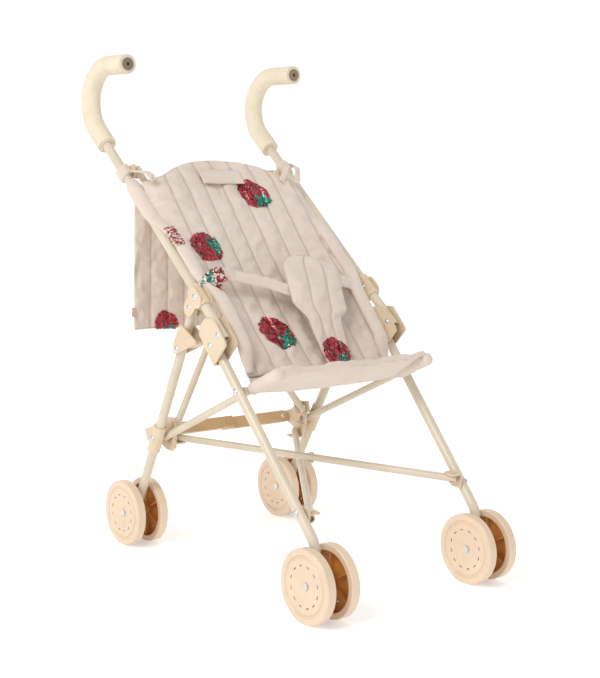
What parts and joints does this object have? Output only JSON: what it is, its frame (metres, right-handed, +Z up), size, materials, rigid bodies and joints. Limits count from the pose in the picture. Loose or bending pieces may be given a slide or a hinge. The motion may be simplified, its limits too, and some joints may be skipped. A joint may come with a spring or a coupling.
{
  "type": "doll stroller",
  "caption": "Folding umbrella stroller for dolls: crossed tube frame, curved foam handles, twin wheels and a quilted sling seat with crotch pad and belt.",
  "frame": {"origin": "on the floor under the middle of the object's box", "axes": "+Z up, +X towards the doll's left hand, -Y the way the doll faces and the stroller rolls"},
  "size_m": [0.2634, 0.4751, 0.5605],
  "materials": {
    "painted_tube": "semi-gloss powder coat, ivory",
    "bracket_plastic": "satin moulded, warm cream",
    "wheel_plastic": "satin moulded, warm cream",
    "foam": "matte closed-cell foam, beige",
    "plug_plastic": "matte moulded, taupe",
    "tan_plastic": "satin moulded, tan",
    "rivet_steel": "zinc plated",
    "quilted_cotton": "quilted cotton, cream",
    "cotton_strap": "flat sewn cotton strap, cream"
  },
  "bodies": {
    "right_rear_frame": {"right_rear_leg": "painted_tube", "right_rear_rivets": "rivet_steel", "right_rear_axle": "rivet_steel", "right_rear_lower_bracket": "bracket_plastic"},
    "right_handle": {"right_handle_tube": "painted_tube", "right_foam_grip": "foam", "right_grip_plug": "plug_plastic", "right_hinge_collar": "bracket_plastic", "right_handle_rivets": "rivet_steel", "seat_back_quilt": "quilted_cotton", "rear_quilted_panel": "quilted_cotton", "crotch_pad": "quilted_cotton", "waist_belt": "cotton_strap", "right_side_wing": "quilted_cotton"},
    "right_front_frame": {"right_front_leg": "painted_tube", "right_knee_bracket": "bracket_plastic", "right_leg_rivets": "rivet_steel", "right_front_axle": "rivet_steel"},
    "right_seat_rail": {"right_seat_rail": "painted_tube", "seat_base_quilt": "quilted_cotton"},
    "right_latch": {"right_fold_latch": "bracket_plastic"},
    "right_lock_bar": {"right_lock_bar_half": "tan_plastic"},
    "right_lower_cross_knuckle": {"right_lower_cross_knuckle": "bracket_plastic"},
    "right_lower_cross": {"right_lower_cross_tube": "painted_tube"},
    "right_lower_cross_end": {"right_lower_cross_end": "bracket_plastic"},
    "right_rear_cross_knuckle": {"right_rear_cross_knuckle": "bracket_plastic"},
    "right_rear_cross": {"right_rear_cross_tube": "painted_tube"},
    "right_rear_cross_end": {"right_rear_cross_end": "bracket_plastic"},
    "right_rear_outer_wheel": {"right_rear_outer_wheel": "wheel_plastic"},
    "right_rear_inner_wheel": {"right_rear_inner_wheel": "wheel_plastic"},
    "right_front_outer_wheel": {"right_front_outer_wheel": "wheel_plastic"},
    "right_front_inner_wheel": {"right_front_inner_wheel": "wheel_plastic"},
    "left_rear_frame": {"left_rear_leg": "painted_tube", "left_rear_rivets": "rivet_steel", "left_rear_axle": "rivet_steel", "left_rear_lower_bracket": "bracket_plastic"},
    "left_handle": {"left_handle_tube": "painted_tube", "left_foam_grip": "foam", "left_grip_plug": "plug_plastic", "left_hinge_collar": "bracket_plastic", "left_handle_rivets": "rivet_steel", "left_side_wing": "quilted_cotton"},
    "left_front_frame": {"left_front_leg": "painted_tube", "left_knee_bracket": "bracket_plastic", "left_leg_rivets": "rivet_steel", "left_front_axle": "rivet_steel"},
    "left_seat_rail": {"left_seat_rail": "painted_tube"},
    "left_latch": {"left_fold_latch": "bracket_plastic"},
    "left_lock_bar": {"left_lock_bar_half": "tan_plastic"},
    "left_lower_cross_knuckle": {"left_lower_cross_knuckle": "bracket_plastic"},
    "left_lower_cross": {"left_lower_cross_tube": "painted_tube"},
    "left_lower_cross_end": {"left_lower_cross_end": "bracket_plastic"},
    "left_rear_cross_knuckle": {"left_rear_cross_knuckle": "bracket_plastic"},
    "left_rear_cross": {"left_rear_cross_tube": "painted_tube"},
    "left_rear_cross_end": {"left_rear_cross_end": "bracket_plastic"},
    "left_rear_outer_wheel": {"left_rear_outer_wheel": "wheel_plastic"},
    "left_rear_inner_wheel": {"left_rear_inner_wheel": "wheel_plastic"},
    "left_front_outer_wheel": {"left_front_outer_wheel": "wheel_plastic"},
    "left_front_inner_wheel": {"left_front_inner_wheel": "wheel_plastic"}
  },
  "joints": [
    {"name": "fold", "type": "slide", "parent": "right_rear_frame", "child": "left_rear_frame", "axis": [-1, 0, 0], "range_m": [0, 0.15], "deforming": ["seat_back_quilt", "seat_base_quilt", "right_side_wing", "left_side_wing", "rear_quilted_panel", "crotch_pad", "waist_belt"]},
    {"name": "right_handle_hinge", "type": "hinge", "parent": "right_rear_frame", "child": "right_handle", "pos_m": [-0.118, 0.00887, 0.28744], "axis": [1, 0, 0], "range_deg": [0, 76.38]},
    {"name": "right_knee", "type": "hinge", "parent": "right_handle", "child": "right_front_frame", "pos_m": [-0.118, -0.04535, 0.26414], "axis": [1, 0, 0], "range_deg": [-170.01, 0]},
    {"name": "right_rail_hinge", "type": "hinge", "parent": "right_rear_frame", "child": "right_seat_rail", "pos_m": [-0.1025, 0.08821, 0.132], "axis": [1, 0, 0], "range_deg": [-20.42, 0]},
    {"name": "right_latch_hinge", "type": "hinge", "parent": "right_rear_frame", "child": "right_latch", "pos_m": [-0.11678, 0.03283, 0.2405], "axis": [1, 0, 0], "range_deg": [-31.01, 0]},
    {"name": "right_lock_hinge", "type": "hinge", "parent": "right_rear_frame", "child": "right_lock_bar", "pos_m": [-0.086, 0.11291, 0.133], "axis": [0, 0.848, -0.5299], "range_deg": [-82.01, 0]},
    {"name": "right_lower_knuckle_hinge", "type": "hinge", "parent": "right_rear_frame", "child": "right_lower_cross_knuckle", "pos_m": [-0.0937, 0.08921, 0.123], "axis": [1, 0, 0], "range_deg": [-51.67, 0]},
    {"name": "right_lower_cross_hinge", "type": "hinge", "parent": "right_lower_cross_knuckle", "child": "right_lower_cross", "pos_m": [-0.0853, 0.08921, 0.123], "axis": [0, -0.0828, 0.9966], "range_deg": [-31.01, 0]},
    {"name": "right_lower_cross_end_hinge", "type": "hinge", "parent": "right_lower_cross", "child": "right_lower_cross_end", "pos_m": [0.09739, -0.16948, 0.1015], "axis": [0, -0.0828, 0.9966], "range_deg": [0, 31.01]},
    {"name": "right_rear_knuckle_hinge", "type": "hinge", "parent": "right_rear_frame", "child": "right_rear_cross_knuckle", "pos_m": [-0.0937, 0.08421, 0.147], "axis": [1, 0, 0], "range_deg": [0, 43.41]},
    {"name": "right_rear_cross_hinge", "type": "hinge", "parent": "right_rear_cross_knuckle", "child": "right_rear_cross", "pos_m": [-0.0853, 0.08421, 0.147], "axis": [0, 0.9714, -0.2375], "range_deg": [-27.9, 0]},
    {"name": "right_rear_cross_end_hinge", "type": "hinge", "parent": "right_rear_cross", "child": "right_rear_cross_end", "pos_m": [0.10335, 0.15316, 0.42894], "axis": [0, 0.9714, -0.2375], "range_deg": [0, 27.9]},
    {"name": "right_rear_outer_wheel_spin", "type": "hinge", "parent": "right_rear_frame", "child": "right_rear_outer_wheel", "pos_m": [-0.1115, 0.13644, 0.0375], "axis": [1, 0, 0], "continuous": true},
    {"name": "right_rear_inner_wheel_spin", "type": "hinge", "parent": "right_rear_frame", "child": "right_rear_inner_wheel", "pos_m": [-0.1115, 0.13644, 0.0375], "axis": [1, 0, 0], "continuous": true},
    {"name": "right_front_outer_wheel_spin", "type": "hinge", "parent": "right_front_frame", "child": "right_front_outer_wheel", "pos_m": [-0.1095, -0.20006, 0.0375], "axis": [1, 0, 0], "continuous": true},
    {"name": "right_front_inner_wheel_spin", "type": "hinge", "parent": "right_front_frame", "child": "right_front_inner_wheel", "pos_m": [-0.1095, -0.20006, 0.0375], "axis": [1, 0, 0], "continuous": true},
    {"name": "left_handle_hinge", "type": "hinge", "parent": "left_rear_frame", "child": "left_handle", "pos_m": [0.118, 0.00887, 0.28744], "axis": [1, 0, 0], "range_deg": [0, 76.38]},
    {"name": "left_knee", "type": "hinge", "parent": "left_handle", "child": "left_front_frame", "pos_m": [0.118, -0.04535, 0.26414], "axis": [1, 0, 0], "range_deg": [-170.01, 0]},
    {"name": "left_rail_hinge", "type": "hinge", "parent": "left_rear_frame", "child": "left_seat_rail", "pos_m": [0.1025, 0.08821, 0.132], "axis": [1, 0, 0], "range_deg": [-20.42, 0]},
    {"name": "left_latch_hinge", "type": "hinge", "parent": "left_rear_frame", "child": "left_latch", "pos_m": [0.11678, 0.03283, 0.2405], "axis": [1, 0, 0], "range_deg": [-31.01, 0]},
    {"name": "left_lock_hinge", "type": "hinge", "parent": "left_rear_frame", "child": "left_lock_bar", "pos_m": [0.086, 0.11291, 0.133], "axis": [0, 0.848, -0.5299], "range_deg": [0, 82.01]},
    {"name": "left_lower_knuckle_hinge", "type": "hinge", "parent": "left_rear_frame", "child": "left_lower_cross_knuckle", "pos_m": [0.0937, 0.08921, 0.123], "axis": [1, 0, 0], "range_deg": [-51.67, 0]},
    {"name": "left_lower_cross_hinge", "type": "hinge", "parent": "left_lower_cross_knuckle", "child": "left_lower_cross", "pos_m": [0.0853, 0.08921, 0.123], "axis": [0, 0.0828, -0.9966], "range_deg": [-31.01, 0]},
    {"name": "left_lower_cross_end_hinge", "type": "hinge", "parent": "left_lower_cross", "child": "left_lower_cross_end", "pos_m": [-0.09739, -0.16948, 0.1015], "axis": [0, 0.0828, -0.9966], "range_deg": [0, 31.01]},
    {"name": "left_rear_knuckle_hinge", "type": "hinge", "parent": "left_rear_frame", "child": "left_rear_cross_knuckle", "pos_m": [0.0937, 0.08421, 0.147], "axis": [1, 0, 0], "range_deg": [0, 43.41]},
    {"name": "left_rear_cross_hinge", "type": "hinge", "parent": "left_rear_cross_knuckle", "child": "left_rear_cross", "pos_m": [0.0853, 0.08421, 0.147], "axis": [0, -0.9714, 0.2375], "range_deg": [-27.9, 0]},
    {"name": "left_rear_cross_end_hinge", "type": "hinge", "parent": "left_rear_cross", "child": "left_rear_cross_end", "pos_m": [-0.10335, 0.15316, 0.42894], "axis": [0, -0.9714, 0.2375], "range_deg": [0, 27.9]},
    {"name": "left_rear_outer_wheel_spin", "type": "hinge", "parent": "left_rear_frame", "child": "left_rear_outer_wheel", "pos_m": [0.1115, 0.13644, 0.0375], "axis": [1, 0, 0], "continuous": true},
    {"name": "left_rear_inner_wheel_spin", "type": "hinge", "parent": "left_rear_frame", "child": "left_rear_inner_wheel", "pos_m": [0.1115, 0.13644, 0.0375], "axis": [1, 0, 0], "continuous": true},
    {"name": "left_front_outer_wheel_spin", "type": "hinge", "parent": "left_front_frame", "child": "left_front_outer_wheel", "pos_m": [0.1095, -0.20006, 0.0375], "axis": [1, 0, 0], "continuous": true},
    {"name": "left_front_inner_wheel_spin", "type": "hinge", "parent": "left_front_frame", "child": "left_front_inner_wheel", "pos_m": [0.1095, -0.20006, 0.0375], "axis": [1, 0, 0], "continuous": true}
  ],
  "couplings": [
    {"joint": "right_handle_hinge", "follows": "fold", "rad_per_m": 8.8854},
    {"joint": "right_knee", "follows": "fold", "rad_per_m": -19.78},
    {"joint": "right_rail_hinge", "follows": "fold", "rad_per_m": -2.3744},
    {"joint": "right_latch_hinge", "follows": "fold", "rad_per_m": -3.607},
    {"joint": "right_lock_hinge", "follows": "fold", "rad_per_m": -9.5411},
    {"joint": "right_lower_knuckle_hinge", "follows": "fold", "rad_per_m": -6.0114},
    {"joint": "right_lower_cross_hinge", "follows": "fold", "rad_per_m": -3.6067},
    {"joint": "right_lower_cross_end_hinge", "follows": "fold", "rad_per_m": 3.6067},
    {"joint": "right_rear_knuckle_hinge", "follows": "fold", "rad_per_m": 5.0502},
    {"joint": "right_rear_cross_hinge", "follows": "fold", "rad_per_m": -3.2448},
    {"joint": "right_rear_cross_end_hinge", "follows": "fold", "rad_per_m": 3.2448},
    {"joint": "left_handle_hinge", "follows": "fold", "rad_per_m": 8.8854},
    {"joint": "left_knee", "follows": "fold", "rad_per_m": -19.78},
    {"joint": "left_rail_hinge", "follows": "fold", "rad_per_m": -2.3744},
    {"joint": "left_latch_hinge", "follows": "fold", "rad_per_m": -3.607},
    {"joint": "left_lock_hinge", "follows": "fold", "rad_per_m": 9.5411},
    {"joint": "left_lower_knuckle_hinge", "follows": "fold", "rad_per_m": -6.0114},
    {"joint": "left_lower_cross_hinge", "follows": "fold", "rad_per_m": -3.6067},
    {"joint": "left_lower_cross_end_hinge", "follows": "fold", "rad_per_m": 3.6067},
    {"joint": "left_rear_knuckle_hinge", "follows": "fold", "rad_per_m": 5.0502},
    {"joint": "left_rear_cross_hinge", "follows": "fold", "rad_per_m": -3.2448},
    {"joint": "left_rear_cross_end_hinge", "follows": "fold", "rad_per_m": 3.2448}
  ]
}
